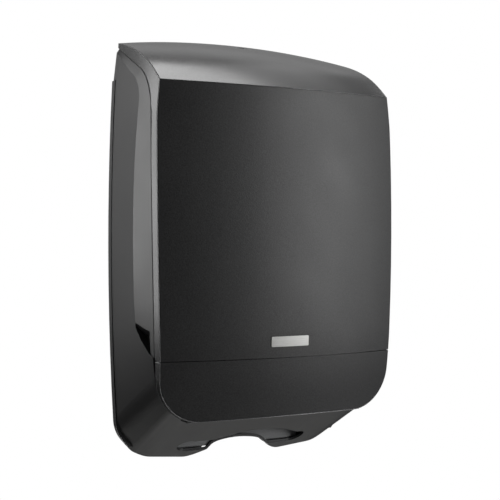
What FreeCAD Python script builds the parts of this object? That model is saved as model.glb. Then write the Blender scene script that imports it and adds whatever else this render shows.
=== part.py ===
import FreeCAD, Part
import math
import os
import re

import Sketcher
from FreeCAD import Placement, Rotation, Vector

# Folded towel dispenser for a washroom wall, in millimetres.
# The origin is the centre of the wall screw pattern, on the wall plane. +Z is up, +X is to the right
# for someone who faces the dispenser, and +Y points into the wall, so the front is at -Y.

SIZES = {
    # cover outline in front view; what is called a flare, an inset or a lean starts from its half width
    "cover_half": 137.5,
    "cover_widest_height": 35.0,
    "cover_top_narrowing": 5.6,
    "cover_top_height": 260.0,
    "cover_foot_narrowing": 5.2,
    "cover_bottom": -172.8,
    "cover_corner": 44.5,
    "band_taper": 0.138,
    "band_rise": 0.11,
    # casing, as it meets the wall
    "casing_top": 226.0,
    "wall_crown_flare": -2.9,
    "wall_shoulder_flare": 3.1,
    "wall_shoulder_height": 176.0,
    "wall_side_flare": 7.4,
    "wall_side_height": 5.0,
    "wall_foot_flare": 1.7,
    "wall_foot_height": -195.0,
    "wall_chin_flare": -18.2,
    "wall_chin_height": -217.9,
    "wall_jaw_flare": -33.5,
    "wall_jaw_height": -225.2,
    "lobe_half": 60.0,
    "lobe_height": -229.4,
    "foot_round": 13.0,
    "chin_round": 4.0,
    "jaw_round": 7.0,
    # casing, as it meets the cover
    "seam_depth": 107.0,
    "seam_crown_flare": -3.9,
    "seam_shoulder_flare": -0.5,
    "seam_shoulder_height": 160.0,
    "seam_side_flare": 4.3,
    "seam_side_height": 20.0,
    "seam_foot_flare": -4.3,
    "seam_foot_height": -137.5,
    "seam_chin_flare": -19.2,
    "seam_chin_height": -161.1,
    "seam_jaw_flare": -33.5,
    "seam_jaw_height": -163.6,
    "housing_wall": 3.0,
    "seam_gap": 0.8,
    "seam_gap_rise": 0.05,
    # side view of the seam between housing and cover, from the wall down to the chin
    "seam_wall_height": 212.6,
    "seam_neck_depth": 66.0,
    "seam_neck_height": 181.8,
    "seam_neck_bulge": 6.0,
    "seam_bend_depth": 100.6,
    "seam_bend_height": 143.0,
    "seam_front_depth": 106.2,
    "seam_low_depth": 105.2,
    "seam_low_height": -103.0,
    # how far the side of the forehead leans in at the cap's edge
    "edge_wall_height": 216.2,
    "edge_wall_lean": 3.3,
    "edge_neck_depth": 64.4,
    "edge_neck_height": 196.7,
    "edge_neck_lean": 4.0,
    "edge_front_depth": 114.0,
    "edge_front_height": 163.4,
    "edge_front_lean": 5.2,
    "lean_end_height": 75.0,
    "lean_end_clear": 0.5,
    # side facets, each between a crease on the side wall and the seam
    "crease_wall_height": 208.9,
    "crease_neck_depth": 58.0,
    "crease_neck_height": 174.6,
    "crease_neck_bulge": 4.5,
    "crease_bend_depth": 76.0,
    "crease_bend_height": 148.0,
    "crease_middle_depth": 69.0,
    "crease_middle_height": 16.0,
    "crease_low_depth": 69.5,
    # finger pocket at the foot of each facet
    "heel_height": -80.0,
    "sole_depth": 82.0,
    "sole_height": -92.5,
    "pocket_front": 98.0,
    "pocket_foot": -104.3,
    "facet_foot": -107.0,
    "roof_flare": 5.5,
    "roof_height": -70.0,
    "brow_height": -80.0,
    "throat_height": -88.0,
    "pocket_sink": 6.5,
    "pocket_wall": 2.5,
    # towel outlet in the chin
    "slot_half": 65.0,
    "slot_back": 14.6,
    "slot_front": 38.0,
    "bulge_front": 54.5,
    "bulge_half": 27.0,
    "bulge_round": 4.0,
    "bulge_slope": 25.0,
    "bulge_shift": 12.0,
    "arch_half": 57.5,
    "arch_height": 19.6,
    "lip_back": 12.2,
    "lip_thick": 3.5,
    "chin_front": 91.0,
    "chin_front_inset": 36.5,
    "tongue_gap": 2.0,
    # cover front and cap; the crease under the forehead drops by a share of the depth below the face
    "front_depth": 137.0,
    "front_bow_radius": 468.0,
    "front_barrel_radius": 2790.0,
    "tuck_height": -85.0,
    "front_tuck": 7.6,
    "crown_height": 227.6,
    "crown_drop": 10.1,
    "crown_power": 2.15,
    "crease_drop": 0.4,
    "panel_top": 161.2,
    "panel_top_lift": 2.1,
    "skin": 2.2,
    "frame_wall": 2.5,
    "frame_side_wall": 6.0,
    "frame_bottom_wall": 3.0,
    "rim": 0.6,
    "rim_gap": 0.45,
    "panel_gap": 0.4,
    "bond_gap": 0.1,
    "groove_height": -110.2,
    "groove_width": 0.8,
    "groove_depth": 0.7,
    "wall_gap": 0.5,
    # badge plate
    "badge_width": 42.5,
    "badge_height": 10.3,
    "badge_thick": 0.8,
    "badge_corner": 1.0,
    "badge_level": -93.6,
    # hinge
    "hinge_depth": 98.0,
    "hinge_height": -168.5,
    "hinge_pin_radius": 2.0,
    "hinge_fit": 0.05,
    "knuckle_radius": 4.5,
    "knuckle_width": 5.5,
    "knuckle_gap": 0.5,
    "knuckle_inset": 51.5,
    "lug_root": 5.0,
    # back plate
    "plate_thick": 3.0,
    "plate_fit": 0.4,
    "plate_top": 204.0,
    "flange_proud": 0.2,
    "flange_width": 4.0,
    "flange_depth": 9.0,
    "flange_top": 177.0,
    "flange_bottom": -211.0,
    "flange_fit": 0.3,
    "back_relief": 3.3,
    "screw_spacing_across": 180.0,
    "screw_spacing_up": 300.0,
    "screw_hole_radius": 2.75,
    "screw_recess_radius": 6.0,
    "screw_recess_depth": 1.2,
    "plate_foot_clear": 3.0,
    "plate_arch_clear": 1.5,
    # rail and tabs that the housing is screwed to the plate with
    "rail_low": 194.0,
    "rail_height": 9.0,
    "tab_thick": 4.0,
    "tab_inset": 7.5,
    "tab_edge": 6.0,
    "tab_reach": 6.5,
    "tab_height": 16.0,
    "tab_level": 162.0,
    "tab_root": 15.0,
    "tab_web": 2.0,
    "rail_screw_inset": 37.5,
    # towel tray and guides
    "tray_top": -138.0,
    "tray_thick": 2.5,
    "tray_inset": 13.5,
    "tray_front": 90.0,
    "tray_upstand": 12.0,
    "tray_screw_half": 70.0,
    "funnel_half": 86.0,
    "funnel_back": 11.8,
    "funnel_front": 60.0,
    "funnel_wall": 2.0,
    "funnel_chin_clear": 3.0,
    "funnel_arch_clear": 1.5,
    "funnel_slit": 9.0,
    "funnel_low": -206.0,
    "guide_inset": 16.5,
    "guide_thick": 2.0,
    "guide_top": 150.0,
    "guide_front": 88.0,
    "guide_flange": 10.0,
    "guide_screw_low": -100.0,
    "guide_screw_high": 110.0,
    "seat_gap": 0.3,
    # lock, latch and strike
    "lock_depth": 24.0,
    "lock_face": 217.0,
    "lock_head_radius": 11.5,
    "lock_head_thick": 2.0,
    "lock_body_radius": 8.9,
    "lock_body_low": 197.0,
    "lock_fit": 0.1,
    "boss_radius": 14.0,
    "boss_low": 207.5,
    "barrel_radius": 4.8,
    "barrel_fit": 0.05,
    "barrel_low": 194.0,
    "key_slot_length": 6.0,
    "key_slot_width": 1.6,
    "key_slot_depth": 6.0,
    "cam_radius": 8.5,
    "cam_thick": 3.0,
    "cam_throw": 5.5,
    "cam_half_turn": 45.0,
    "cam_pin_radius": 1.5,
    "cam_pin_low": 183.0,
    "cam_gap": 0.1,
    "cam_screw_length": 7.0,
    "latch_level": 184.5,
    "latch_thick": 3.0,
    "latch_half_width": 10.0,
    "latch_tail": 36.0,
    "latch_shoulder": 14.0,
    "latch_nose": 32.8,
    "latch_nose_half": 6.0,
    "latch_slot_clear": 0.35,
    "latch_fit": 0.3,
    "bracket_thick": 2.0,
    "bracket_leg": 23.0,
    "bracket_half_width": 14.0,
    "bracket_low": 180.0,
    "nut_flats": 25.0,
    "nut_thick": 4.0,
    "strike_gap": 1.2,
    "strike_thick": 2.0,
    "strike_reach": 33.0,
    "strike_low": 178.0,
    "strike_high": 193.5,
    "strike_base": 16.0,
    "strike_window": 0.8,
    "strike_screw_edge": 4.0,
    # screws
    "screw_radius": 1.75,
    "screw_head_radius": 3.5,
    "screw_head_thick": 2.4,
    "screw_drive_radius": 1.25,
    "screw_drive_depth": 1.4,
    "screw_bite": 2.4,
    "screw_clear": 0.3,
    "screw_fit": 0.05,
    "edge_break": 0.4,
}

# The forehead in side view, as shares of its reach from the wall and of its drop from the crown.
FOREHEAD = [(0.0, 0.0), (0.325, 0.195), (0.565, 0.394), (0.770, 0.628), (0.900, 0.826), (1.0, 1.0)]

# The arched edge of the lip, as shares of its half width and of its height.
LIP_ARCH = [(1.0, 0.0), (0.86, 0.10), (0.73, 0.30), (0.62, 0.52), (0.55, 0.70), (0.46, 0.83), (0.33, 0.92),
            (0.18, 0.975), (0.0, 1.0)]

# Half widths that start from the cover's.
GUIDE_HALF = "(cover_half - guide_inset)"
TRAY_HALF = "(cover_half - tray_inset)"
TAB_HALF = "(cover_half - tab_inset)"
KNUCKLE_INNER = "(cover_half - knuckle_inset)"
CHIN_FRONT_HALF = "(cover_half - chin_front_inset)"
POCKET_FLOOR = "(cover_half - pocket_sink)"

# Where screws stand on the back plate, as pairs of formulas across and up.
RAIL_SCREWS = [("cover_half - rail_screw_inset", "rail_low + rail_height / 2")]
TAB_SCREWS = [(TAB_HALF, "tab_level"), (TAB_HALF, "-tab_level")]
GUIDE_SCREW_HALF = GUIDE_HALF + " + 0.6 * guide_flange"
GUIDE_SCREWS = [(GUIDE_SCREW_HALF, "guide_screw_low"), (GUIDE_SCREW_HALF, "guide_screw_high")]
TRAY_SCREWS = [("tray_screw_half", "tray_top + tray_upstand / 2")]
STRIKE_SCREW_HALF = "latch_nose + strike_gap + 0.62 * strike_base"
STRIKE_SCREWS = [
    (STRIKE_SCREW_HALF, "strike_low + strike_screw_edge"),
    (STRIKE_SCREW_HALF, "strike_high - strike_screw_edge"),
]
WALL_SCREWS = [
    ("screw_spacing_across / 2", "screw_spacing_up / 2"),
    ("screw_spacing_across / 2", "-screw_spacing_up / 2"),
]

DOC = FreeCAD.newDocument("folded_towel_dispenser")

# Cutting shapes reach this far past what they cut: well outside the object, or a little past a face.
FAR = 300.0
PAST = 6.0
HAIR = 0.1


def both_sides(pairs):
    """Formulas for the right side, followed by their mirror images on the left."""
    return pairs + [("-(" + across + ")", up) for across, up in pairs]


HOUSING_SCREWS = both_sides(RAIL_SCREWS + TAB_SCREWS)


def make_sheet():
    """The driving sizes, one named cell each."""
    sheet = DOC.addObject("Spreadsheet::Sheet", "Sizes")
    for row, (name, value) in enumerate(SIZES.items(), 1):
        sheet.set(f"A{row}", name)
        sheet.set(f"B{row}", str(value))
        sheet.setAlias(f"B{row}", name)
    DOC.recompute()
    return sheet


SHEET = make_sheet()


def size(text):
    """The value of a formula of named sizes."""
    return float(SHEET.evalExpression(text))


def places(pairs):
    """The values of pairs of formulas."""
    return [(size(across), size(up)) for across, up in pairs]


def linked(text):
    """The same formula, as another object's expression reads it."""
    return re.sub(r"[a-z_]+", lambda word: "Sizes." + word[0] if word[0] in SIZES else word[0], text)


# Sketches, bodies and features

def new_body(name):
    body = DOC.addObject("PartDesign::Body", name)
    body.Label = name
    return body


def new_sketch(body, name, role, offset=None):
    """A sketch on one of the body's own origin planes, moved along its normal by a formula."""
    plane = next(item for item in body.Origin.OriginFeatures if item.Role == role)
    sketch = body.newObject("Sketcher::SketchObject", name)
    sketch.AttachmentSupport = [(plane, "")]
    sketch.MapMode = "FlatFace"
    if offset is not None:
        sketch.setExpression("AttachmentOffset.Base.z", linked(offset))
    return sketch


def place_point(sketch, line, end, across, up):
    """Tie one end of a sketch line to two formulas, measured from the sketch's origin."""
    for kind, text in (("DistanceX", across), ("DistanceY", up)):
        index = sketch.addConstraint(Sketcher.Constraint(kind, -1, 1, line, end, size(text)))
        sketch.setExpression(f"Constraints[{index}]", linked(text))


def draw_polygon(sketch, corners):
    """A closed polygon whose corners are pairs of formulas, anticlockwise."""
    first = sketch.GeometryCount
    points = [Vector(size(across), size(up), 0) for across, up in corners]
    count = len(points)
    for index, start in enumerate(points):
        sketch.addGeometry(Part.LineSegment(start, points[(index + 1) % count]))
    for index, (across, up) in enumerate(corners):
        after = first + (index + 1) % count
        sketch.addConstraint(Sketcher.Constraint("Coincident", first + index, 2, after, 1))
        place_point(sketch, first + index, 1, across, up)


def draw_box(sketch, left, right, low, high):
    draw_polygon(sketch, [(left, low), (right, low), (right, high), (left, high)])


def draw_circle(sketch, across, up, radius):
    circle = Part.Circle(Vector(size(across), size(up), 0), Vector(0, 0, 1), size(radius))
    index = sketch.addGeometry(circle)
    place_point(sketch, index, 3, across, up)
    limit = sketch.addConstraint(Sketcher.Constraint("Radius", index, size(radius)))
    sketch.setExpression(f"Constraints[{limit}]", linked(radius))


def extrude(body, kind, sketch, length, reversed_way=False, both_ways=False):
    """A Pad or a Pocket of a sketch, whose length is a formula."""
    feature = body.newObject("PartDesign::" + kind, sketch.Name + "_" + kind.lower())
    feature.Profile = sketch
    feature.setExpression("Length", linked(length))
    feature.Reversed = reversed_way
    feature.Midplane = both_ways
    sketch.Visibility = False
    DOC.recompute()
    return feature


def pad(body, sketch, length, **ways):
    return extrude(body, "Pad", sketch, length, **ways)


def pocket(body, sketch, length, **ways):
    before = body.Shape.Volume
    feature = extrude(body, "Pocket", sketch, length, **ways)
    if body.Shape.Volume > before - 1e-3:
        raise RuntimeError("the pocket " + feature.Name + " cuts nothing")
    return feature


def shaped(name, shape):
    """A sub-part whose doubly curved shape comes from surfaces rather than sketches."""
    feature = DOC.addObject("Part::Feature", name)
    feature.Label = name
    feature.Shape = shape
    feature.Placement = Placement()
    return feature


def axis_shape(radius, start, direction, length):
    return Part.makeCylinder(radius, length, start, direction)


def block(left, right, front, back, low, high):
    """A box between limits along X, Y and Z."""
    return Part.makeBox(right - left, back - front, high - low, Vector(left, front, low))


def mirrored(shape):
    return shape.mirror(Vector(0, 0, 0), Vector(1, 0, 0))


# Outlines in front view

def inset(corners, distance):
    """A right half outline moved inwards; each corner is (x, z, rounding)."""
    moved = []
    for index, (x, z, rounding) in enumerate(corners):
        normals = []
        for start, end in ((index - 1, index), (index, index + 1)):
            if start < 0 or end >= len(corners):
                continue
            along = Vector(corners[end][0] - corners[start][0], 0, corners[end][1] - corners[start][1])
            along.normalize()
            normals.append(Vector(along.z, 0, -along.x))
        if len(normals) == 1:
            step = normals[0] * distance
        else:
            step = (normals[0] + normals[1]) * (distance / (1 + normals[0].dot(normals[1])))
        moved.append((x + step.x, z + step.z, rounding))
    return moved


def outline_wire(depth, corners):
    """A closed wire at Y = -depth from the right half of an outline and its mirror image.

    A rounding of None marks a point that an arc passes through between its two neighbours.
    """
    points = [Vector(x, -depth, z) for x, z, _ in corners]
    runs = []
    start = points[0]
    through = None
    for index in range(1, len(corners)):
        corner, rounding = points[index], corners[index][2]
        if rounding is None:
            through = corner
            continue
        entry, middle, leave = corner, None, corner
        if rounding:
            back = (points[index - 1] - corner).normalize()
            ahead = (points[index + 1] - corner).normalize()
            turn = math.pi - back.getAngle(ahead)
            entry = corner + back * rounding
            leave = corner + ahead * rounding
            middle = corner + (back + ahead).normalize() * (rounding * math.tan(turn / 4))
        runs.append([start, through, entry] if through else [start, entry])
        if middle:
            runs.append([entry, middle, leave])
        start, through = leave, None
    other = [[Vector(-p.x, p.y, p.z) for p in reversed(run)] for run in reversed(runs)]
    edges = []
    for run in runs + other:
        edges.append(Part.makeLine(*run) if len(run) == 2 else Part.Arc(*run).toShape())
    return Part.Wire(edges)


def casing_outline(edge):
    """The casing's right half outline, at the wall or at the seam."""
    top = size("casing_top")
    corners = [(0.0, top, 0), (size(f"cover_half + {edge}_crown_flare"), top, 0)]
    rounds = {"shoulder": 0, "side": None, "foot": size("foot_round"), "chin": size("chin_round"),
              "jaw": size("jaw_round")}
    for name, rounding in rounds.items():
        corners.append((size(f"cover_half + {edge}_{name}_flare"), size(f"{edge}_{name}_height"), rounding))
    low = size("lobe_height" if edge == "wall" else "seam_jaw_height")
    return corners + [(size("lobe_half"), low, 0), (0.0, low, 0)]


def casing_solid(thickness):
    """The casing between the wall and the seam, ruled from one outline to the other."""
    back = inset(casing_outline("wall"), thickness)
    front = inset(casing_outline("seam"), thickness)
    if thickness:
        for index, (_, z, rounding) in enumerate(front[1:4], 1):
            front[index] = (cover_side(z) - thickness, z, rounding)
    wires = [outline_wire(0.0, back), outline_wire(size("seam_depth"), front)]
    return Part.makeLoft(wires, True, True)


def casing_side(casing, y, z):
    """The X of the casing's right side at Y and Z."""
    ray = Part.makeLine(Vector(0, y, z), Vector(FAR, y, z))
    return casing.common(ray).BoundBox.XMax


# Side view of the seam

def bulged(start, end, bulge):
    """An arc in side view between two points, bulging to the front and up."""
    along = (end - start).normalize()
    middle = (start + end) / 2 + Vector(0, along.z, -along.y) * bulge
    return Part.Arc(start, middle, end).toShape()


def side_point(depth, height):
    return Vector(0, -size(depth), size(height))


def seam_curve(foot):
    """Edges of the seam in the plane X = 0, from above the wall edge down to a foot."""
    wall, neck = side_point("0", "seam_wall_height"), side_point("seam_neck_depth", "seam_neck_height")
    bend = side_point("seam_bend_depth", "seam_bend_height")
    low = side_point("seam_low_depth", "seam_low_height")
    slope = (wall - neck) / size("seam_neck_depth")
    return [
        Part.makeLine(wall + slope * PAST, neck),
        bulged(neck, bend, size("seam_neck_bulge")),
        Part.Arc(bend, side_point("seam_front_depth", "seam_side_height"), low).toShape(),
        Part.makeLine(low, Vector(0, low.y, foot)),
    ]


def crease_curve(foot):
    """Edges of the side facet's crease in the plane X = 0, one beside each edge of the seam."""
    wall, neck = side_point("0", "crease_wall_height"), side_point("crease_neck_depth", "crease_neck_height")
    bend = side_point("crease_bend_depth", "crease_bend_height")
    low = side_point("crease_low_depth", "seam_low_height")
    return [
        Part.makeLine(wall, neck),
        bulged(neck, bend, size("crease_neck_bulge")),
        Part.Arc(bend, side_point("crease_middle_depth", "crease_middle_height"), low).toShape(),
        Part.makeLine(low, Vector(0, low.y, foot)),
    ]


def side_prism(edges, corners):
    """A slab across the whole width whose side view is bounded by edges and then by straight lines."""
    first, last = edges[0].valueAt(edges[0].FirstParameter), edges[-1].valueAt(edges[-1].LastParameter)
    points = [last] + [Vector(0, y, z) for y, z in corners] + [first]
    lines = [Part.makeLine(points[i], points[i + 1]) for i in range(len(points) - 1)]
    face = Part.Face(Part.Wire(edges + lines))
    face.translate(Vector(-FAR, 0, 0))
    return face.extrude(Vector(2 * FAR, 0, 0))


def housing_zone():
    """All that lies behind the seam."""
    return side_prism(seam_curve(-FAR), [(PAST, -FAR)])


def cover_zone():
    """All that lies in front of the seam and its gap, clear of the wall."""
    front = side_prism(seam_curve(-FAR), [(-FAR, -FAR), (-FAR, FAR), (PAST, FAR)])
    shifted = front.copy()
    shifted.translate(Vector(0, -size("seam_gap"), size("seam_gap_rise")))
    zone = front.common(shifted)
    return zone.common(block(-FAR, FAR, -FAR, -size("wall_gap"), -FAR, FAR))


# Cover solids

def panel_height(x):
    """The panel's top edge, which rises a little from the middle to the sides."""
    return size("panel_top") + size("panel_top_lift") * (x / size("cover_half")) ** 2


def front_face(x, z):
    """The barrel-shaped front, tucked in towards its foot, at X and Z."""
    bow = x ** 2 / (2 * size("front_bow_radius")) + z ** 2 / (2 * size("front_barrel_radius"))
    start = size("tuck_height")
    share = max(0.0, start - z) / (start - size("cover_bottom"))
    return -size("front_depth") + bow + size("front_tuck") * share ** 2


def cover_section(x, depth):
    """The cover in side view at X, moved inwards by a depth."""
    drop = size("crown_drop") * (abs(x) / size("cover_half")) ** size("crown_power")
    crown = size("crown_height") - drop - depth
    crease = panel_height(x) - size("crease_drop") * depth
    reach = -front_face(x, panel_height(x)) - depth
    rows = [Vector(x, -reach * out, crown - (crown - crease) * down) for out, down in FOREHEAD]
    forehead = Part.BSplineCurve()
    forehead.interpolate(rows)
    start, low = size("tuck_height"), size("cover_bottom") - 2 * PAST
    levels = ((crease + start) / 2, start, (start + low) / 2, low)
    front = [rows[-1]] + [Vector(x, front_face(x, z) + depth, z) for z in levels]
    foot, back = front[-1], Vector(x, 0, low)
    edges = [forehead.toShape(), Part.Arc(*front[:3]).toShape(), Part.Arc(*front[2:]).toShape()]
    edges += [Part.makeLine(foot, back), Part.makeLine(back, rows[0])]
    return Part.Wire(edges)


def cover_block(depth):
    """The doubly curved block behind the cover's face, wider than the cover."""
    half = size("cover_half") + PAST
    sections = [cover_section(share * half, depth) for share in (-1, -0.55, 0, 0.55, 1)]
    return Part.makeLoft(sections, True, False)


def cover_corners(narrower, shorter):
    """The cover's right half outline in front view, made narrower and shorter."""
    half = size("cover_half") - narrower
    top, foot = half - size("cover_top_narrowing"), half - size("cover_foot_narrowing")
    bottom = size("cover_bottom") + shorter
    return [
        (0.0, size("cover_top_height"), 0),
        (top, size("cover_top_height"), 0),
        (half, size("cover_widest_height"), None),
        (foot, bottom, size("cover_corner") - (narrower + shorter) / 2),
        (0.0, bottom, 0),
    ]


def cover_side(z):
    """The cover's half width at a height, on the arc of its outline."""
    top, middle, foot = [Vector(x, 0, z) for x, z, _ in cover_corners(0.0, 0.0)[1:4]]
    entry = foot + (middle - foot).normalize() * size("cover_corner")
    side = Part.Circle(top, middle, entry)
    return side.Center.x + math.sqrt(side.Radius ** 2 - (z - side.Center.z) ** 2)


def cover_prism(side, bottom):
    """The cover's rim: straight behind the seam and tapering forwards, moved inwards by two amounts."""
    seam, front = size("seam_low_depth"), size("front_depth") + PAST
    taper, rise = size("band_taper") * (front - seam), size("band_rise") * (front - seam)
    wires = [
        outline_wire(-PAST, cover_corners(side, bottom)),
        outline_wire(seam, cover_corners(side, bottom)),
        outline_wire(front, cover_corners(side + taper, bottom + rise)),
    ]
    return Part.makeLoft(wires, True, True)


def band_tool(side):
    """What lies outside the forehead's right side, which leans in from the seam to the cap's edge.

    The lean fades out downwards and ends just clear of the rim's own taper.
    """
    near, far = [], []
    for place, bottom in (("wall", "0"), ("neck", "seam_neck_depth"), ("bend", "seam_bend_depth")):
        level = size(f"seam_{place}_height")
        near.append(Vector(cover_side(level), -size(bottom), level))
    for place, depth in (("wall", "0"), ("neck", "edge_neck_depth"), ("front", "edge_front_depth")):
        half = size(f"cover_half - edge_{place}_lean")
        far.append(Vector(half, -size(depth), size(f"edge_{place}_height")))
    level, seam = size("lean_end_height"), size("seam_low_depth")
    for row, depth in ((near, size("seam_front_depth")), (far, size("edge_front_depth"))):
        taper = size("band_taper") * (depth - seam)
        row.append(Vector(cover_side(level) - taper + size("lean_end_clear"), -depth, level))
    inner = [start * 2 - end for start, end in zip(near, far)]
    outer = [end * 3 - start * 2 for start, end in zip(near, far)]
    rims = []
    for row in (inner, outer):
        first = row[0] + (row[0] - row[1]) * HAIR
        rim = Part.BSplineCurve()
        rim.interpolate(Points=[point - Vector(side, 0, 0) for point in [first] + row[1:]],
                        Parameters=[0.0, 1.0, 2.0, 4.0])
        rims.append(rim.toShape())
    return Part.makeRuledSurface(*rims).extrude(Vector(FAR, 0, 0))


def cover_body(depth, side, bottom):
    """The cover's whole volume, moved inwards by a depth at the face and at the sides and bottom."""
    body = cover_block(depth).common(cover_prism(side, bottom))
    tool = band_tool(side)
    return body.cut(tool).cut(mirrored(tool))


def front_region(low, high_gap):
    """The part of the front between a level and the panel's arched top edge."""
    half = size("cover_half") + PAST
    ends = [Vector(sign * half, -FAR, panel_height(half) + high_gap) for sign in (-1, 1)]
    top = Part.Arc(ends[0], Vector(0, -FAR, size("panel_top") + high_gap), ends[1]).toShape()
    corners = [ends[1], Vector(half, -FAR, low), Vector(-half, -FAR, low), ends[0]]
    lines = [Part.makeLine(corners[i], corners[i + 1]) for i in range(3)]
    return Part.Face(Part.Wire([top] + lines)).extrude(Vector(0, FAR + PAST, 0))


# Housing

def below_arch(thick):
    """In front view, what lies below the lip's arch when the arch is raised by a thickness."""
    half, low, rise = size("arch_half"), size("lobe_height") + thick, size("arch_height")
    right = [Vector(half * out, 0, low + rise * up) for out, up in LIP_ARCH]
    left = [Vector(-point.x, 0, point.z) for point in right[:-1]]
    curve = Part.BSplineCurve()
    curve.interpolate(left + right[::-1])
    floor = size("lobe_height") - PAST
    corners = [right[0], Vector(half, 0, floor), Vector(-half, 0, floor), left[0]]
    lines = [Part.makeLine(corners[i], corners[i + 1]) for i in range(3)]
    return Part.Face(Part.Wire([curve.toShape()] + lines))


def arch_tool(raised, front):
    """The lip's arch as a cut from the wall plane to a depth."""
    face = below_arch(raised)
    face.translate(Vector(0, -front, 0))
    return face.extrude(Vector(0, front + PAST, 0))


def lip_bar():
    """The arched bar that closes the towel outlet at the back."""
    face = below_arch(size("lip_thick")).cut(below_arch(0.0)).Faces[0]
    face.translate(Vector(0, -size("slot_back"), 0))
    return face.extrude(Vector(0, size("slot_back") - size("lip_back"), 0))


def outlet_tool():
    """The towel outlet in plan view: a long slot with round ends and a bulge at its front."""
    back, front, bulge = -size("slot_back"), -size("slot_front"), -size("bulge_front")
    end, middle = size("slot_half"), (back + front) / 2
    reach = end + (back - front) / 2
    shift, half, shoulder = size("bulge_shift"), size("bulge_half"), bulge + size("bulge_round")
    neck = half + size("bulge_slope")
    brow = [Vector(shift + half, shoulder, 0), Vector(shift, bulge, 0), Vector(shift - half, shoulder, 0)]
    right, left = Vector(end, front, 0), Vector(-end, front, 0)
    edges = [
        Part.makeLine(Vector(-end, back, 0), Vector(end, back, 0)),
        Part.Arc(Vector(end, back, 0), Vector(reach, middle, 0), right).toShape(),
        Part.makeLine(right, Vector(shift + neck, front, 0)),
        Part.makeLine(Vector(shift + neck, front, 0), brow[0]),
        Part.Arc(*brow).toShape(),
        Part.makeLine(brow[2], Vector(shift - neck, front, 0)),
        Part.makeLine(Vector(shift - neck, front, 0), left),
        Part.Arc(left, Vector(-reach, middle, 0), Vector(-end, back, 0)).toShape(),
    ]
    face = Part.Face(Part.Wire(edges))
    face.translate(Vector(0, 0, size("lobe_height") - PAST))
    return face.extrude(Vector(0, 0, size("seam_jaw_height - lobe_height") + 2 * PAST))


def side_slab(rows, inner, outer):
    """A slab between two X positions whose side view is a polygon of (y, z) corners."""
    points = [Vector(inner, y, z) for y, z in rows]
    face = Part.Face(Part.makePolygon(points + points[:1]))
    return face.extrude(Vector(outer - inner, 0, 0))


def facet_tool(casing):
    """What lies outside the right side facet, ruled from its crease on the casing to the cover's side."""
    tools = []
    foot = size("facet_foot") - PAST
    for crease, seam in zip(crease_curve(foot), seam_curve(foot)):
        sides = [[], []]
        for share in (0.0, 0.25, 0.5, 0.75, 1.0):
            points = []
            for edge in (crease, seam):
                first, last = edge.ParameterRange
                points.append(edge.valueAt(first + share * (last - first)))
            (_, y, z), (_, seam_y, seam_z) = points
            start = Vector(casing_side(casing, min(y, -HAIR), z), y, z)
            end = Vector(cover_side(seam_z), seam_y, seam_z)
            sides[0].append(start - (end - start) * HAIR)
            sides[1].append(end + (end - start) * HAIR)
        curves = [Part.BSplineCurve() for _ in sides]
        for curve, side in zip(curves, sides):
            curve.interpolate(side)
        face = Part.makeRuledSurface(curves[0].toShape(), curves[1].toShape())
        tools.append(face.extrude(Vector(FAR, 0, 0)))
    return tools[0].fuse(tools[1:])


def facet_window():
    """In side view, where the facet is: above the slanted edge of the finger pocket."""
    return [
        (PAST, FAR), (-FAR, FAR), (-FAR, size("facet_foot")), (-size("seam_low_depth"), size("facet_foot")),
        (-size("pocket_front"), size("pocket_foot")), (-size("sole_depth"), size("sole_height")),
        (-size("crease_low_depth"), size("heel_height")), (PAST, size("heel_height")),
    ]


def pocket_tool(margin):
    """The right finger pocket at the foot of the facet, widened by a margin."""
    floor = size(POCKET_FLOOR) - margin
    front, foot = -size("pocket_front") - margin, size("pocket_foot") - margin
    side = side_slab([
        (-size("crease_low_depth") + margin, size("roof_height") + 2 * PAST),
        (front, size("roof_height") + 2 * PAST),
        (front, foot),
        (-size("sole_depth") + margin, size("sole_height") - margin),
        (-size("crease_low_depth") + margin, size("heel_height") - margin),
    ], floor, FAR)
    half = size("cover_half")
    profile = [
        (floor, size("throat_height") + margin),
        (half, size("brow_height") + margin),
        (half + size("roof_flare"), size("roof_height") + margin),
        (FAR, FAR),
        (FAR, foot - PAST),
        (floor, foot - PAST),
    ]
    points = [Vector(x, -FAR, z) for x, z in profile]
    room = Part.Face(Part.makePolygon(points + points[:1])).extrude(Vector(0, FAR, 0))
    return side.common(room)


def housing_cavity():
    """The space inside the housing, left clear of the backs of the finger pockets."""
    backing = pocket_tool(size("pocket_wall"))
    return casing_solid(size("housing_wall")).cut([backing, mirrored(backing)])


def housing_lug():
    """The right hinge lug, on an arm that stands on the chin's front edge."""
    start = size(KNUCKLE_INNER + " + knuckle_width + knuckle_gap")
    width, radius = size("knuckle_width"), size("knuckle_radius")
    axis = Vector(start, -size("hinge_depth"), size("hinge_height"))
    root = -size("chin_front") + size("lug_root")
    arm = block(start, start + width, axis.y, root, axis.z - radius, axis.z + radius)
    return axis_shape(radius, axis, Vector(1, 0, 0), width).fuse(arm)


def hinge_bore(extra):
    """A bore along the hinge axis, through lug and knuckle on the right."""
    start = Vector(size(KNUCKLE_INNER) - PAST, -size("hinge_depth"), size("hinge_height"))
    length = size("2 * knuckle_width + knuckle_gap") + 2 * PAST
    return axis_shape(size("hinge_pin_radius") + extra, start, Vector(1, 0, 0), length)


def housing_tab(level):
    """A right side tab with its web to the side wall."""
    half = size("tab_height") / 2
    low, high = level - half, level + half
    front = -size("plate_thick + seat_gap")
    face, root, wall = front - size("tab_thick"), -size("tab_root"), -size("flange_depth + flange_fit")
    inner, limit = size(TAB_HALF + " - tab_reach"), size(TAB_HALF + " + tab_edge")
    start = limit - size("tab_web")
    tab = block(inner, limit, face, front, low, high)
    web = block(start, limit, root, face, low, high)
    foot = block(start, limit + size("housing_wall + tab_web"), root, wall, low, high)
    return tab.fuse([web, foot])


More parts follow.
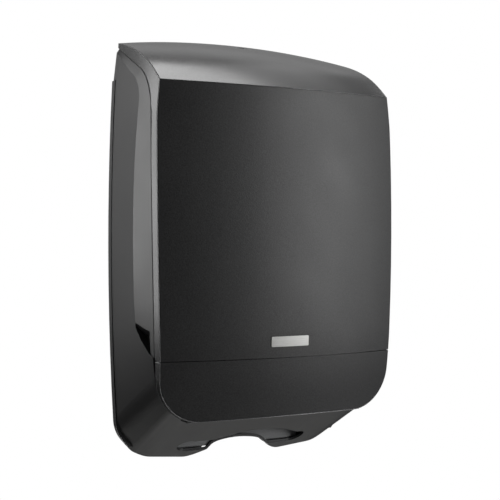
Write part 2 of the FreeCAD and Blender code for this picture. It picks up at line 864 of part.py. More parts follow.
def flange_room():
    """Room for the back plate's side flange, and the step above it."""
    fit, depth = size("flange_fit"), size("flange_depth + flange_fit")
    low, high = size("flange_bottom") - fit, size("flange_top") + fit
    beside = block(size("cover_half + wall_jaw_flare"), FAR, -depth, PAST, low, high)
    return beside.fuse(block(-FAR, FAR, -size("back_relief"), PAST, high, FAR))


def make_housing():
    outer = casing_solid(0.0)
    shell = outer.cut(housing_cavity())
    half = size(CHIN_FRONT_HALF)
    trim = block(-half, half, -FAR, -size("chin_front"), -FAR, size("seam_jaw_height") + 2 * PAST)
    facet = facet_tool(outer).common(side_slab(facet_window(), 0.0, FAR))
    sides = [flange_room(), pocket_tool(0.0), facet]
    tools = [trim, outlet_tool(), arch_tool(0.0, size("slot_back") + HAIR)] + sides
    tools += [mirrored(tool) for tool in sides]
    shell = shell.common(housing_zone()).cut(tools)
    low, front = size("rail_low"), -size("plate_thick + seat_gap")
    rail_half = size("cover_half + wall_shoulder_flare")
    rail = block(-rail_half, rail_half, front - size("tab_thick"), front, low, low + size("rail_height"))
    additions = [lip_bar(), rail]
    for level in (-size("tab_level"), size("tab_level")):
        tab = housing_tab(level)
        additions += [tab, mirrored(tab)]
    inside = outer.common(housing_zone()).cut([facet, mirrored(facet)])
    additions = [shape.common(inside) for shape in additions]
    lug = housing_lug()
    shell = shell.fuse(additions + [lug, mirrored(lug)])
    bores = [hinge_bore(size("hinge_fit")), mirrored(hinge_bore(size("hinge_fit")))]
    radius, deep = size("screw_radius + screw_clear"), size("tab_root")
    for x, z in places(HOUSING_SCREWS):
        bores.append(axis_shape(radius, Vector(x, -deep, z), Vector(0, 1, 0), deep))
    return shaped("housing_shell", shell.cut(bores).removeSplitter())


# Cover pieces

def hinge_notch():
    """Room for the right hinge lug in the frame's bottom, all the way to the open position."""
    start = size(KNUCKLE_INNER + " + knuckle_width")
    end = start + size("knuckle_width + 2 * knuckle_gap")
    depth, height = size("hinge_depth"), size("hinge_height")
    room = size("knuckle_radius + knuckle_gap")
    around = axis_shape(room, Vector(start, -depth, height), Vector(1, 0, 0), end - start)
    below = block(start, end, -depth - room, 0.0, -FAR, height)
    behind = block(start, end, -depth, 0.0, height, height + room)
    return around.fuse([below, behind])


def frame_tongue():
    """The frame's bottom edge between the hinges, which reaches back to the chin."""
    half = size(CHIN_FRONT_HALF) - size("seam_gap")
    front, bottom = -size("seam_low_depth + frame_wall"), size("cover_bottom")
    back = -size("chin_front") - size("tongue_gap")
    return block(-half, half, front, back, bottom, bottom + size("frame_bottom_wall"))


def groove_slab(deeper):
    """The groove between the two front panels, as a slab across the cover."""
    level, half = size("groove_height"), size("groove_width") / 2
    return block(-FAR, FAR, -FAR, 0.0, level - half - deeper, level + half + deeper)


def lock_axis(low):
    return Vector(0, -size("lock_depth"), low)


def lock_seat():
    """The round seat of the lock's head, open upwards."""
    seat = size("lock_face - lock_head_thick")
    return axis_shape(size("lock_head_radius + seat_gap"), lock_axis(seat), Vector(0, 0, 1), FAR)


def make_frame():
    """The cover's frame: its rim, its inner walls and the seats of the skins."""
    skin, rim = size("skin"), size("rim")
    zone = cover_zone()
    band = cover_body(0.0, 0.0, 0.0).common(zone).cut(groove_slab(0.0))
    groove = size("groove_depth")
    whole = band.fuse(cover_body(groove, groove, groove).common(zone))
    skins = cover_body(0.0, rim, rim).cut(cover_block(skin))
    hollow = cover_body(skin + size("frame_wall"), size("frame_side_wall"), size("frame_bottom_wall"))
    boss = axis_shape(size("boss_radius"), lock_axis(size("boss_low")), Vector(0, 0, 1), FAR)
    boss = boss.common(cover_block(skin)).common(zone)
    knuckle_start = Vector(size(KNUCKLE_INNER), -size("hinge_depth"), size("hinge_height"))
    knuckle = axis_shape(size("knuckle_radius"), knuckle_start, Vector(1, 0, 0), size("knuckle_width"))
    frame = whole.cut(skins).cut(hollow).fuse([frame_tongue(), boss, knuckle, mirrored(knuckle)])
    body_radius = size("lock_body_radius + lock_fit")
    body_bore = axis_shape(body_radius, lock_axis(size("bracket_low")), Vector(0, 0, 1), FAR)
    bore, notch = hinge_bore(size("hinge_fit")), hinge_notch()
    tools = [body_bore, lock_seat(), bore, mirrored(bore), notch, mirrored(notch)]
    return shaped("door_frame", frame.cut(tools).removeSplitter())


def skin_shell():
    """The cover's skins in one piece, inside the frame's rim."""
    edge = size("rim + rim_gap")
    shell = cover_body(0.0, edge, edge).cut(cover_block(size("skin - bond_gap")))
    return shell.common(cover_zone())


def make_skins():
    shell = skin_shell()
    groove, half_gap = size("groove_height"), size("groove_width") / 2
    seam = size("panel_gap") / 2
    below_crease = front_region(groove + half_gap, -seam)
    panel = shell.common(below_crease)
    above_crease = block(-FAR, FAR, -FAR, PAST, -FAR, FAR).cut(front_region(-FAR, seam))
    cap = shell.common(above_crease).cut(lock_seat())
    lower = shell.common(block(-FAR, FAR, -FAR, 0.0, -FAR, groove - half_gap))
    shaped("top_cap", cap.removeSplitter())
    shaped("front_panel", panel.removeSplitter())
    shaped("lower_panel", lower.removeSplitter())


def make_badge():
    """A plain plate that follows the front's curve, left bare."""
    half, tall = size("badge_width") / 2, size("badge_height") / 2
    level = size("badge_level")
    plate = block(-half, half, -FAR, -size("seam_depth"), level - tall, level + tall)
    corners = [edge for edge in plate.Edges if abs(edge.tangentAt(edge.FirstParameter).y) > 0.9]
    plate = plate.makeFillet(size("badge_corner"), corners)
    plate = plate.common(cover_block(-size("badge_thick"))).cut(cover_block(-size("bond_gap") / 2))
    return shaped("badge_plate", plate)


# Back plate and what stands on it

def punch(body, name, pairs, radius, depth):
    """Round holes square to the wall, cut both ways from the wall plane."""
    sketch = new_sketch(body, name, "XZ_Plane")
    for across, up in pairs:
        draw_circle(sketch, across, up, radius)
    return pocket(body, sketch, depth, both_ways=True)


def make_back_plate():
    """The plate inside the housing, with flanges that close the housing's sides at the wall."""
    outside = Part.Face(outline_wire(0.0, inset(casing_outline("wall"), -size("flange_proud"))))
    within = Part.Face(outline_wire(0.0, inset(casing_outline("wall"), size("flange_width"))))
    thick, deep = Vector(0, -size("plate_thick"), 0), Vector(0, -size("flange_depth"), 0)
    span = block(-FAR, FAR, -FAR, PAST, size("flange_bottom"), size("flange_top"))
    foot = size("lobe_height + housing_wall + plate_foot_clear")
    layer = block(-FAR, FAR, -size("plate_thick"), 0.0, foot, size("plate_top"))
    plate = casing_solid(size("housing_wall + plate_fit")).common(layer)
    plate = plate.cut(arch_tool(size("plate_arch_clear"), size("plate_thick") + PAST))
    flanged = outside.extrude(thick).common(span)
    flange = outside.cut(within).extrude(deep).common(span)
    plate = plate.fuse([flanged, flange])
    wall = both_sides(WALL_SCREWS)
    pilots = HOUSING_SCREWS + both_sides(GUIDE_SCREWS + TRAY_SCREWS) + STRIKE_SCREWS
    holes = []
    for pairs, radius, depth in ((wall, "screw_hole_radius", "plate_thick"),
                                 (wall, "screw_recess_radius", "screw_recess_depth"),
                                 (pilots, "screw_radius + screw_fit", "plate_thick")):
        for x, z in places(pairs):
            start = Vector(x, -size("plate_thick"), z)
            holes.append(axis_shape(size(radius), start, Vector(0, 1, 0), size(depth)))
    return shaped("back_plate", plate.cut(holes).removeSplitter())


def make_tray():
    """The tray that the towels stand on, with its opening, its funnel and its rear upstand."""
    body = new_body("towel_tray")
    back = "-plate_thick - seat_gap"
    floor = new_sketch(body, "tray_floor", "XY_Plane", "tray_top - tray_thick")
    draw_box(floor, "-" + TRAY_HALF, TRAY_HALF, "-tray_front", back)
    pad(body, floor, "tray_thick")
    upstand = new_sketch(body, "tray_upstand_plan", "XY_Plane", "tray_top - tray_thick")
    side = "(" + GUIDE_HALF + " - seat_gap)"
    draw_box(upstand, "-" + side, side, "-plate_thick - seat_gap - tray_thick", back)
    pad(body, upstand, "tray_upstand + tray_thick")
    funnel = new_sketch(body, "funnel_outside", "XY_Plane", "funnel_low")
    draw_box(funnel, "-(funnel_half + funnel_wall)", "funnel_half + funnel_wall",
             "-(funnel_front + funnel_wall)", "-funnel_back + funnel_wall")
    pad(body, funnel, "tray_top - tray_thick - funnel_low")
    flap = new_sketch(body, "funnel_flap", "XY_Plane", "lobe_height")
    flap_half = "(funnel_half - funnel_slit)"
    draw_box(flap, "-" + flap_half, flap_half, "-funnel_back", "-funnel_back + funnel_wall")
    pad(body, flap, "tray_top - tray_thick - lobe_height")
    inside = new_sketch(body, "funnel_inside", "XY_Plane", "funnel_low")
    draw_box(inside, "-funnel_half", "funnel_half", "-funnel_front", "-funnel_back")
    pocket(body, inside, "3 * (tray_top - lobe_height)", both_ways=True)
    slant = new_sketch(body, "funnel_foot", "YZ_Plane")
    rise = "(seam_jaw_height - lobe_height) / seam_depth"
    chin = "lobe_height + {0} * " + rise + " + housing_wall + funnel_chin_clear"
    low = "lobe_height - tray_upstand"
    front, rear = "(funnel_front + tray_upstand)", "(funnel_back - plate_thick)"
    draw_polygon(slant, [("-" + front, low), ("-" + rear, low),
                         ("-" + rear, chin.format(rear)), ("-" + front, chin.format(front))])
    pocket(body, slant, "4 * funnel_half", both_ways=True)
    arch = new_sketch(body, "flap_arch", "XZ_Plane")
    foot = "lobe_height + funnel_arch_clear"
    half = [(f"arch_half * {out}", f"{foot} + arch_height * {up}") for out, up in LIP_ARCH]
    floor_corner = ("arch_half", "lobe_height - funnel_arch_clear")
    corners = [floor_corner] + half + [("-(" + across + ")", up) for across, up in reversed(half[:-1])]
    draw_polygon(arch, corners + [("-arch_half", floor_corner[1])])
    pocket(body, arch, "4 * funnel_back", both_ways=True)
    holes = new_sketch(body, "tray_screw_holes", "XZ_Plane")
    for across, up in both_sides(TRAY_SCREWS):
        draw_circle(holes, across, up, "screw_radius + screw_clear")
    pocket(body, holes, "4 * (plate_thick + tray_thick)", both_ways=True)
    return body


def make_guide(name, sign):
    """An upright that centres the towels, with a flange on the back plate."""
    body = new_body(name)
    front, face, back = "-guide_front", "-plate_thick - seat_gap - guide_thick", "-plate_thick - seat_gap"
    corners = [
        (GUIDE_HALF, front),
        (GUIDE_HALF + " + guide_thick", front),
        (GUIDE_HALF + " + guide_thick", face),
        (GUIDE_HALF + " + guide_flange", face),
        (GUIDE_HALF + " + guide_flange", back),
        (GUIDE_HALF, back),
    ]
    if sign < 0:
        corners = [("-(" + across + ")", up) for across, up in reversed(corners)]
    plan = new_sketch(body, name + "_plan", "XY_Plane", "tray_top + seat_gap")
    draw_polygon(plan, corners)
    pad(body, plan, "guide_top - tray_top - seat_gap")
    holes = new_sketch(body, name + "_holes", "XZ_Plane")
    for across, up in GUIDE_SCREWS:
        draw_circle(holes, across if sign > 0 else "-(" + across + ")", up, "screw_radius + screw_clear")
    pocket(body, holes, "4 * (plate_thick + guide_thick)", both_ways=True)
    return body


def make_strike():
    """The angle on the back plate whose window the latch bolt enters."""
    body = new_body("strike")
    face = "latch_nose + strike_gap"
    back, front = "-plate_thick - seat_gap", "-strike_reach"
    plan = new_sketch(body, "strike_plan", "XY_Plane", "strike_low")
    draw_polygon(plan, [
        (face, front),
        (face + " + strike_thick", front),
        (face + " + strike_thick", back + " - strike_thick"),
        (face + " + strike_base", back + " - strike_thick"),
        (face + " + strike_base", back),
        (face, back),
    ])
    pad(body, plan, "strike_high - strike_low")
    window = new_sketch(body, "strike_hole", "YZ_Plane", face)
    draw_box(window, "-lock_depth - latch_nose_half - strike_window",
             "-lock_depth + latch_nose_half + strike_window",
             "latch_level - strike_window", "latch_level + latch_thick + strike_window")
    pocket(body, window, "4 * strike_thick", both_ways=True)
    holes = new_sketch(body, "strike_screw_holes", "XZ_Plane")
    for across, up in STRIKE_SCREWS:
        draw_circle(holes, across, up, "screw_radius + screw_clear")
    pocket(body, holes, "4 * (plate_thick + strike_thick)", both_ways=True)
    return body


def screw(clamp):
    """A pan-head screw along -Y whose head stands on a part of the given thickness."""
    out = Vector(0, -1, 0)
    seat = size("plate_thick + seat_gap") + clamp
    tip = size("plate_thick - screw_bite")
    shank = axis_shape(size("screw_radius"), Vector(0, -tip, 0), out, seat - tip)
    head = axis_shape(size("screw_head_radius"), Vector(0, -seat, 0), out, size("screw_head_thick"))
    top = seat + size("screw_head_thick")
    rim = [edge for edge in head.Edges if edge.BoundBox.YMax < -top + HAIR]
    head = head.makeChamfer(size("edge_break"), rim)
    start = Vector(0, -top - PAST, 0)
    drive = axis_shape(size("screw_drive_radius"), start, Vector(0, 1, 0), size("screw_drive_depth") + PAST)
    return shank.fuse(head).cut(drive).removeSplitter()


def screw_group(name, clamp, pairs):
    """Identical screws that share one node, as separate solids."""
    master = screw(clamp)
    copies = []
    for x, z in places(pairs):
        copy = master.copy()
        copy.translate(Vector(x, 0, z))
        copies.append(copy)
    return shaped(name, Part.Compound(copies))


# Hinge pins, lock and latch

def make_pin(name, sign):
    body = new_body(name)
    length = "(2 * knuckle_width + knuckle_gap - edge_break)"
    near = KNUCKLE_INNER + " + edge_break"
    start = near if sign > 0 else "-(" + near + " + " + length + ")"
    section = new_sketch(body, name + "_section", "YZ_Plane", start)
    draw_circle(section, "-hinge_depth", "hinge_height", "hinge_pin_radius")
    rod = pad(body, section, length)
    rims = [f"Edge{i}" for i, edge in enumerate(rod.Shape.Edges, 1) if edge.isClosed()]
    bevel = body.newObject("PartDesign::Chamfer", name + "_ends")
    bevel.Base = (rod, rims)
    bevel.setExpression("Size", linked("edge_break"))
    DOC.recompute()
    return body


def disc(body, name, low, radius, thick, across="0", up="-lock_depth"):
    """A round pad with a vertical axis, on the lock's axis unless a place is given."""
    sketch = new_sketch(body, name, "XY_Plane", low)
    draw_circle(sketch, across, up, radius)
    return pad(body, sketch, thick)


def bore(body, name, low, radius, both_depths, across="0", up="-lock_depth"):
    sketch = new_sketch(body, name, "XY_Plane", low)
    draw_circle(sketch, across, up, radius)
    return pocket(body, sketch, both_depths, both_ways=True)


def make_lock_housing():
    """The sleeve around the barrel, whose head lies flush with the cap."""
    seat, low = size("lock_face - lock_head_thick"), size("lock_body_low")
    up = Vector(0, 0, 1)
    head = axis_shape(size("lock_head_radius"), lock_axis(seat), up, FAR).common(cover_block(0.0))
    sleeve = axis_shape(size("lock_body_radius"), lock_axis(low), up, seat - low)
    barrel_bore = axis_shape(size("barrel_radius + barrel_fit"), lock_axis(low), up, FAR)
    return shaped("lock_housing", head.fuse(sleeve).cut(barrel_bore).removeSplitter())


def make_lock_nut():
    body = new_body("lock_nut")
    low = "boss_low - bracket_thick - cam_gap - nut_thick"
    sketch = new_sketch(body, "nut_flats_outline", "XY_Plane", low)
    corner = "nut_flats / 2 / cos(30)"
    draw_polygon(sketch, [(f"{corner} * cos({turn})", f"{corner} * sin({turn}) - lock_depth")
                          for turn in range(0, 360, 60)])
    pad(body, sketch, "nut_thick")
    bore(body, "nut_bore", low, "lock_body_radius + lock_fit", "4 * nut_thick")
    return body


def make_latch_guide():
    """The bracket under the lock whose two legs guide the latch bolt."""
    body = new_body("latch_guide")
    under = "boss_low - bracket_thick"
    near, far = "-lock_depth - bracket_half_width", "-lock_depth + bracket_half_width"
    outer = "(bracket_leg + bracket_thick)"
    top = new_sketch(body, "bracket_top", "XY_Plane", under + " - cam_gap / 2")
    draw_box(top, "-" + outer, outer, near, far)
    pad(body, top, "bracket_thick")
    legs = new_sketch(body, "bracket_legs", "XY_Plane", "bracket_low")
    draw_box(legs, "bracket_leg", outer, near, far)
    draw_box(legs, "-" + outer, "-bracket_leg", near, far)
    pad(body, legs, under + " - bracket_low")
    bore(body, "bracket_bore", under, "lock_body_radius + lock_fit", "4 * bracket_thick")
    for name, offset, half in (("nose_window", "bracket_leg", "latch_nose_half"),
                               ("tail_window", "-bracket_leg", "latch_half_width")):
        window = new_sketch(body, name, "YZ_Plane", offset)
        reach = "(" + half + " + latch_fit)"
        draw_box(window, "-lock_depth - " + reach, "-lock_depth + " + reach,
                 "latch_level - latch_fit", "latch_level + latch_thick + latch_fit")
        pocket(body, window, "4 * bracket_thick", both_ways=True)
    return body


def make_latch_bolt():
    body = new_body("latch_bolt")
    near, far = "-lock_depth - {}", "-lock_depth + {}"
    wide, nose = "latch_half_width", "latch_nose_half"
    plan = new_sketch(body, "bolt_plan", "XY_Plane", "latch_level")
    draw_polygon(plan, [
        ("-latch_tail", near.format(wide)),
        ("latch_shoulder", near.format(wide)),
        ("latch_shoulder", near.format(nose)),
        ("latch_nose", near.format(nose)),
        ("latch_nose", far.format(nose)),
        ("latch_shoulder", far.format(nose)),
        ("latch_shoulder", far.format(wide)),
        ("-latch_tail", far.format(wide)),
    ])
    pad(body, plan, "latch_thick")
    slot = new_sketch(body, "cam_slot", "XY_Plane", "latch_level")
    middle, room = "-cam_throw * sin(cam_half_turn)", "(cam_pin_radius + latch_slot_clear)"
    draw_box(slot, middle + " - " + room, middle + " + " + room,
             "-lock_depth - cam_throw - " + room,
             "-lock_depth - cam_throw * cos(cam_half_turn) + " + room)
    pocket(body, slot, "4 * latch_thick", both_ways=True)
    return body


def make_lock_barrel():
    body = new_body("lock_barrel")
    disc(body, "barrel", "barrel_low", "barrel_radius", "lock_face - barrel_low")
    keyway = new_sketch(body, "key_slot", "XY_Plane", "lock_face")
    draw_box(keyway, "-key_slot_width / 2", "key_slot_width / 2",
             "-lock_depth - key_slot_length / 2", "-lock_depth + key_slot_length / 2")
    pocket(body, keyway, "2 * key_slot_depth", both_ways=True)
    bore(body, "cam_screw_hole", "barrel_low", "screw_radius + screw_fit", "2 * (cam_screw_length + 1)")
    return body


def make_lock_cam():
    body = new_body("lock_cam")
    low = "barrel_low - cam_gap - cam_thick"
    disc(body, "cam_disc", low, "cam_radius", "cam_thick")
    disc(body, "cam_pin", "cam_pin_low", "cam_pin_radius", low + " - cam_pin_low",
         "-cam_throw * sin(cam_half_turn)", "-lock_depth - cam_throw * cos(cam_half_turn)")
    bore(body, "cam_hole", low, "screw_radius + screw_clear", "4 * cam_thick")
    return body


def make_cam_screw():
    body = new_body("cam_screw")
    seat = "barrel_low - cam_gap - cam_thick - cam_gap"
    disc(body, "cam_screw_head", seat + " - screw_head_thick", "screw_head_radius", "screw_head_thick")
    disc(body, "cam_screw_shank", seat, "screw_radius", "cam_thick + 2 * cam_gap + cam_screw_length")
    bore(body, "cam_screw_drive", seat + " - screw_head_thick", "screw_drive_radius", "2 * screw_drive_depth")
    return body


def make_all():
    make_back_plate()
    make_housing()
    make_tray()
    make_guide("towel_guide_left", -1)
    make_guide("towel_guide_right", 1)
    make_strike()
    make_pin("hinge_pin_left", -1)
    make_pin("hinge_pin_right", 1)
    screw_group("housing_screws", size("tab_thick"), HOUSING_SCREWS)
    screw_group("tray_screws", size("tray_thick"), both_sides(TRAY_SCREWS))
    screw_group("towel_guide_screws", size("guide_thick"), both_sides(GUIDE_SCREWS))
    screw_group("strike_screws", size("strike_thick"), STRIKE_SCREWS)
    make_frame()
    make_skins()
    make_badge()
    make_lock_housing()
    make_lock_nut()
    make_latch_guide()
    make_lock_barrel()
    make_lock_cam()
    make_cam_screw()
    make_latch_bolt()


def write_parts():
    """Check every object of the document, then write each sub-part to its own file."""
    DOC.recompute()
    for item in DOC.Objects:
        if "Invalid" in item.State or "Error" in item.State:
            raise RuntimeError(item.Name + " could not be computed")
    kinds = ("PartDesign::Body", "Part::Feature")
    subparts = [item for item in DOC.Objects if item.TypeId in kinds]
    for item in subparts:
        if item.Shape.isNull() or not item.Shape.isValid() or not item.Shape.Solids:
            raise RuntimeError(item.Label + " has no valid solid")
    os.makedirs("parts", exist_ok=True)
    for item in subparts:
        item.Shape.exportStep(f"parts/{item.Label}.step")


make_all()
write_parts()
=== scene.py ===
import math

import bpy
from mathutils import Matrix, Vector

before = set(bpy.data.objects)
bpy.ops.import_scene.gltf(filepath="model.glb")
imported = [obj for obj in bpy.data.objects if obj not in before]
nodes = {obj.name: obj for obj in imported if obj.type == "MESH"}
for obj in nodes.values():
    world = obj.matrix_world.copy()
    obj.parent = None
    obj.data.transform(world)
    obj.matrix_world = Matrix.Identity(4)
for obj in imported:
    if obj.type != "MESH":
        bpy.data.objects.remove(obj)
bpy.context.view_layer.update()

MM = 0.001


# Camera: level, at mid height, to the left of the dispenser

CAMERA_PLACE = (-0.4915, -1.0109, 0.0)
CAMERA_TURN = 27.0
CAMERA_LENS = 71.86
SENSOR_WIDTH = 36.0
HORIZON_SHIFT = -0.004


def add_camera():
    camera = bpy.data.cameras.new("camera")
    camera.sensor_width = SENSOR_WIDTH
    camera.lens = CAMERA_LENS
    camera.shift_y = HORIZON_SHIFT
    camera.dof.use_dof = False
    stand = bpy.data.objects.new("camera", camera)
    stand.location = CAMERA_PLACE
    stand.rotation_euler = (math.radians(90), 0, math.radians(-CAMERA_TURN))
    bpy.context.collection.objects.link(stand)
    bpy.context.scene.camera = stand


# Materials

# Nearly all of a noise texture's values lie between these two.
NOISE_LOW, NOISE_HIGH = 0.25, 0.75

# Moulded plastic: its grain, the wide patches in which its gloss drifts, and its rounded edges
GRAIN_DETAIL = 3.0
GRAIN_ROUGHNESS = 0.6
FLOW_MM = 60.0
FLOW_DETAIL = 2.0
FLOW_DRIFT = 0.03
EDGE_SAMPLES = 6

# A painted highlight is mixed in along an edge where the rounded normal turns away from the flat one: the
# cosines between the two at which the paler painted colour starts and is full.
HIGHLIGHT_STARTS, HIGHLIGHT_FULL = 0.99, 0.86

# Metal: its crystals or brushing, and how far they vary its roughness
CRYSTAL_DETAIL = 4.0
CRYSTAL_DRIFT = 0.06


def linear(hex_colour):
    """An sRGB hex colour as linear red, green, blue and alpha."""
    channels = [int(hex_colour[i:i + 2], 16) / 255 for i in (1, 3, 5)]
    red, green, blue = (c / 12.92 if c <= 0.04045 else ((c + 0.055) / 1.055) ** 2.4 for c in channels)
    return red, green, blue, 1.0


def add_node(tree, kind, settings=None, **links):
    """A shader node with its attributes set and its inputs given as values or as other nodes' outputs.

    An input is named in words with underscores, or by its number as n0, n1 and so on.
    """
    node = tree.nodes.new(kind)
    for name, value in (settings or {}).items():
        setattr(node, name, value)
    for name, value in links.items():
        numbered = name[0] == "n" and name[1:].isdigit()
        socket = node.inputs[int(name[1:]) if numbered else name.replace("_", " ")]
        if isinstance(value, bpy.types.NodeSocket):
            tree.links.new(value, socket)
        else:
            socket.default_value = value
    return node


def new_material(name):
    """An empty node material, with its output and the object's own coordinates."""
    material = bpy.data.materials.new(name)
    material.use_nodes = True
    tree = material.node_tree
    tree.nodes.clear()
    output = tree.nodes.new("ShaderNodeOutputMaterial")
    place = tree.nodes.new("ShaderNodeTexCoord").outputs["Object"]
    return material, tree, output, place


def spread(tree, value, low, high):
    """A texture's value, spread evenly between two limits."""
    return add_node(tree, "ShaderNodeMapRange", Value=value, From_Min=NOISE_LOW, From_Max=NOISE_HIGH,
                    To_Min=low, To_Max=high).outputs["Result"]


def painted_edge_highlight(tree, tint, rounded, colour):
    """The tint, turned to a paler colour along the edges: a painted highlight."""
    flat = tree.nodes.new("ShaderNodeNewGeometry").outputs["Normal"]
    facing = add_node(tree, "ShaderNodeVectorMath", {"operation": "DOT_PRODUCT"},
                      n0=rounded, n1=flat).outputs["Value"]
    highlight_mask = add_node(tree, "ShaderNodeMapRange", Value=facing, From_Min=HIGHLIGHT_STARTS,
                    From_Max=HIGHLIGHT_FULL).outputs["Result"]
    return add_node(tree, "ShaderNodeMix", {"data_type": "RGBA"}, n0=highlight_mask, n6=tint,
                    n7=linear(colour)).outputs[2]


def moulded_plastic(name, light, dark, roughness, grain_mm, grain_depth_mm, edge_mm, ior=1.5,
                    highlight_colour=None):
    """Injection moulded plastic: a grained skin, a little uneven in gloss, with softly rounded edges."""
    material, tree, output, place = new_material(name)
    grain = add_node(tree, "ShaderNodeTexNoise", Vector=place, Scale=1 / (grain_mm * MM),
                     Detail=GRAIN_DETAIL, Roughness=GRAIN_ROUGHNESS).outputs["Fac"]
    flow = add_node(tree, "ShaderNodeTexNoise", Vector=place, Scale=1 / (FLOW_MM * MM),
                    Detail=FLOW_DETAIL).outputs["Fac"]
    edge = add_node(tree, "ShaderNodeBevel", {"samples": EDGE_SAMPLES},
                    Radius=edge_mm * MM).outputs["Normal"]
    bump = add_node(tree, "ShaderNodeBump", Height=grain, Distance=grain_depth_mm * MM, Strength=1.0,
                    Normal=edge).outputs["Normal"]
    tint = add_node(tree, "ShaderNodeMix", {"data_type": "RGBA"}, n0=spread(tree, grain, 0.0, 1.0),
                    n6=linear(dark), n7=linear(light)).outputs[2]
    # The edges get a painted highlight: a paler colour where the rounded normal turns away from the flat
    # one.
    if highlight_colour:
        tint = painted_edge_highlight(tree, tint, edge, highlight_colour)
    gloss = spread(tree, flow, roughness - FLOW_DRIFT, roughness + FLOW_DRIFT)
    shader = add_node(tree, "ShaderNodeBsdfPrincipled", Base_Color=tint, Roughness=gloss, IOR=ior,
                      Normal=bump)
    tree.links.new(shader.outputs["BSDF"], output.inputs["Surface"])
    return material


def finished_metal(name, light, dark, roughness, grain_mm, stretch=(1.0, 1.0, 1.0)):
    """A metal whose grain varies its tone and gloss; a stretch below 1 draws it out along that axis."""
    material, tree, output, place = new_material(name)
    drawn = add_node(tree, "ShaderNodeMapping", Vector=place, Scale=stretch).outputs["Vector"]
    grain = add_node(tree, "ShaderNodeTexNoise", Vector=drawn, Scale=1 / (grain_mm * MM),
                     Detail=CRYSTAL_DETAIL).outputs["Fac"]
    tint = add_node(tree, "ShaderNodeMix", {"data_type": "RGBA"}, n0=spread(tree, grain, 0.0, 1.0),
                    n6=linear(dark), n7=linear(light)).outputs[2]
    gloss = spread(tree, grain, roughness - CRYSTAL_DRIFT, roughness + CRYSTAL_DRIFT)
    shader = add_node(tree, "ShaderNodeBsdfPrincipled", Base_Color=tint, Metallic=1.0, Roughness=gloss)
    tree.links.new(shader.outputs["BSDF"], output.inputs["Surface"])
    return material


def dress(names, material):
    for name in names:
        mesh = nodes[name].data
        mesh.materials.clear()
        mesh.materials.append(material)


# The cap and the rim are a smooth, satin black ABS with soft highlights. Its edges carry a painted
# highlight, a paler colour that draws the thin line round the panels.
satin_abs = moulded_plastic("satin_abs", "#222223", "#1d1d1e", roughness=0.25, grain_mm=0.7,
                            grain_depth_mm=0.002, edge_mm=1.0, ior=1.58, highlight_colour="#8c8c8d")

# The front panels are matte ABS with a fine spark grain, drawn coarse enough to show as a faint speckle.
spark_grained_abs = moulded_plastic("spark_grained_abs", "#29292a", "#070707", roughness=0.48,
                                    grain_mm=1.3, grain_depth_mm=0.1, edge_mm=0.4)

# The casing is a plainer black ABS moulding, a little rougher than the cover.
casing_abs = moulded_plastic("casing_abs", "#232324", "#1e1e1f", roughness=0.32, grain_mm=0.9,
                             grain_depth_mm=0.002, edge_mm=0.6)

# The back plate is a coarser ABS moulding that looks lighter at its flange.
plate_abs = moulded_plastic("plate_abs", "#2c2c2d", "#262627", roughness=0.5, grain_mm=1.2,
                            grain_depth_mm=0.01, edge_mm=0.6)

# The tray and the towel guides are moulded in grey polypropylene, dull and slightly waxy.
grey_polypropylene = moulded_plastic("grey_polypropylene", "#7c7d7e", "#6e6f70", roughness=0.45,
                                     grain_mm=1.2, grain_depth_mm=0.005, edge_mm=0.4)

# Bright zinc plating is pale, with faint crystals.
zinc_plated_steel = finished_metal("zinc_plated_steel", "#b9babb", "#9c9d9f", roughness=0.38,
                                   grain_mm=2.0)

# The barrel of the lock is satin chrome, smooth and cool.
satin_chrome = finished_metal("satin_chrome", "#cfd0d2", "#c2c3c5", roughness=0.24, grain_mm=1.5)

# Bright drawn steel has fine lines along the pin.
drawn_steel = finished_metal("drawn_steel", "#bdbdbf", "#a4a4a6", roughness=0.3, grain_mm=0.8,
                             stretch=(0.1, 1.0, 1.0))

# The badge is a bare plate of anodised aluminium, with fine brushing across.
brushed_aluminium = finished_metal("brushed_aluminium", "#a9a9a7", "#989896", roughness=0.45,
                                   grain_mm=0.8, stretch=(0.08, 1.0, 1.0))

# Screws, nut, cam, latch and strike are zinc plated, and so is whatever isn't dressed anew below.
dress(nodes, zinc_plated_steel)
dress(["door_frame", "top_cap", "lock_housing"], satin_abs)
dress(["front_panel", "lower_panel"], spark_grained_abs)
dress(["housing_shell"], casing_abs)
dress(["back_plate"], plate_abs)
dress(["towel_tray", "towel_guide_left", "towel_guide_right"], grey_polypropylene)
dress(["lock_barrel"], satin_chrome)
dress(["hinge_pin_left", "hinge_pin_right"], drawn_steel)
dress(["badge_plate"], brushed_aluminium)


# Light and floor

# Lamps stand around the dispenser at this distance in metres. Each has its turn to the left of the front
# and its height, both in degrees, its width and height in metres, and its power in watts.
LAMP_DISTANCE = 1.7
LAMPS = {
    "right_front": (-40, 10, 0.8, 1.4, 22.5),
    "top": (-130, 82, 0.8, 0.8, 9.8),
    "top_right": (-118, 60, 0.7, 0.6, 0.85),
    "left_back": (135, 14, 0.4, 1.4, 6.6),
    "top_back": (-155, 45, 1.2, 0.5, 0.6),
    "below": (-70, -52, 1.0, 1.0, 4),
    "right": (-105, 20, 0.8, 1.2, 6),
    "back": (-168, -12, 1.0, 1.0, 12),
}

FLOOR_LEVEL = -1.9
FLOOR_SIDE = 4.0
FLOOR_PAINT = linear("#e4e4e2")
FLOOR_GLOW = linear("#ececea")

# Strengths of the world: SOFT_LEVEL lights the dispenser, the others are what it reflects.
SOFT_LEVEL = 0.15
FRONT_LEVEL = 0.06
BACK_LOW_LEVEL = 0.06
BACK_HIGH_LEVEL = 0.35

# The backdrop fades in from the front to the back, and grows paler from below to above. These are the Y and
# Z of the direction looked in, at the start and at the end of each change.
BACKDROP_FADE = (-0.1, 0.6)
BACKDROP_RISE = (-0.3, 0.3)


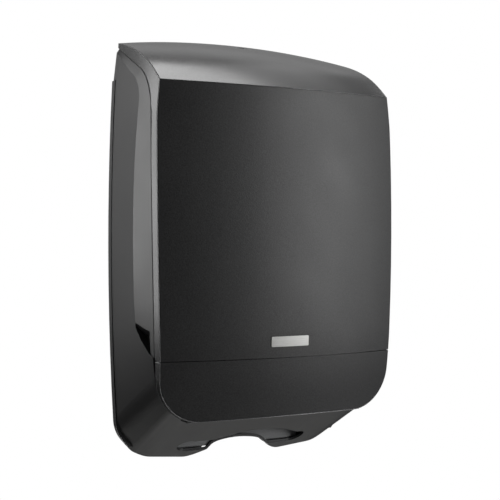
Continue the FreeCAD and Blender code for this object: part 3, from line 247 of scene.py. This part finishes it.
def area_light(name, turn, height, width, tall, power):
    lamp = bpy.data.lights.new(name, "AREA")
    lamp.shape = "RECTANGLE"
    lamp.size, lamp.size_y, lamp.energy = width, tall, power
    across, up = math.radians(turn), math.radians(height)
    away = Vector((-math.sin(across) * math.cos(up), -math.cos(across) * math.cos(up), math.sin(up)))
    holder = bpy.data.objects.new(name, lamp)
    holder.location = away * LAMP_DISTANCE
    holder.rotation_euler = away.to_track_quat("Z", "Y").to_euler()
    holder.visible_camera = False
    bpy.context.collection.objects.link(holder)


def add_floor():
    """A plain pale floor well below the dispenser; its glow is for the camera's rays alone."""
    bpy.ops.mesh.primitive_plane_add(size=FLOOR_SIDE, location=(0, 0, FLOOR_LEVEL))
    floor = bpy.context.object
    floor.name = "floor"
    bpy.ops.object.transform_apply(location=True)
    material, tree, output, _ = new_material("pale_floor")
    paint = add_node(tree, "ShaderNodeBsdfDiffuse", Color=FLOOR_PAINT)
    seen = tree.nodes.new("ShaderNodeLightPath").outputs["Is Camera Ray"]
    glow = add_node(tree, "ShaderNodeEmission", Color=FLOOR_GLOW, Strength=seen)
    both = add_node(tree, "ShaderNodeAddShader", n0=paint.outputs[0], n1=glow.outputs[0])
    tree.links.new(both.outputs[0], output.inputs["Surface"])
    floor.data.materials.append(material)


def add_world():
    """White to the camera; reflections show a paler backdrop behind and above, and a dim room in front."""
    world = bpy.data.worlds.new("studio")
    world.use_nodes = True
    tree = world.node_tree
    tree.nodes.clear()

    def eased(value, limits, low, high):
        return add_node(tree, "ShaderNodeMapRange", {"interpolation_type": "SMOOTHSTEP"}, Value=value,
                        From_Min=limits[0], From_Max=limits[1], To_Min=low, To_Max=high).outputs["Result"]

    def backdrop(strength):
        return add_node(tree, "ShaderNodeBackground", Color=linear("#ffffff"),
                        Strength=strength).outputs[0]

    outward = tree.nodes.new("ShaderNodeTexCoord").outputs["Generated"]
    way = add_node(tree, "ShaderNodeSeparateXYZ", Vector=outward)
    behind = eased(way.outputs["Y"], BACKDROP_FADE, 0.0, 1.0)
    level = eased(way.outputs["Z"], BACKDROP_RISE, BACK_LOW_LEVEL, BACK_HIGH_LEVEL)
    shown = add_node(tree, "ShaderNodeMix", n0=behind, n2=FRONT_LEVEL, n3=level).outputs[0]
    ray = tree.nodes.new("ShaderNodeLightPath").outputs
    mirrored = add_node(tree, "ShaderNodeMath", {"operation": "MAXIMUM"}, n0=ray["Is Glossy Ray"],
                        n1=ray["Is Transmission Ray"]).outputs[0]
    inner = add_node(tree, "ShaderNodeMixShader", n0=mirrored, n1=backdrop(SOFT_LEVEL),
                     n2=backdrop(shown)).outputs[0]
    outer = add_node(tree, "ShaderNodeMixShader", n0=ray["Is Camera Ray"], n1=inner,
                     n2=backdrop(1.0)).outputs[0]
    output = tree.nodes.new("ShaderNodeOutputWorld")
    tree.links.new(outer, output.inputs["Surface"])
    bpy.context.scene.world = world


add_camera()
add_world()
add_floor()
for lamp_name, lamp_values in LAMPS.items():
    area_light(lamp_name, *lamp_values)

bpy.context.scene.view_settings.view_transform = "Standard"
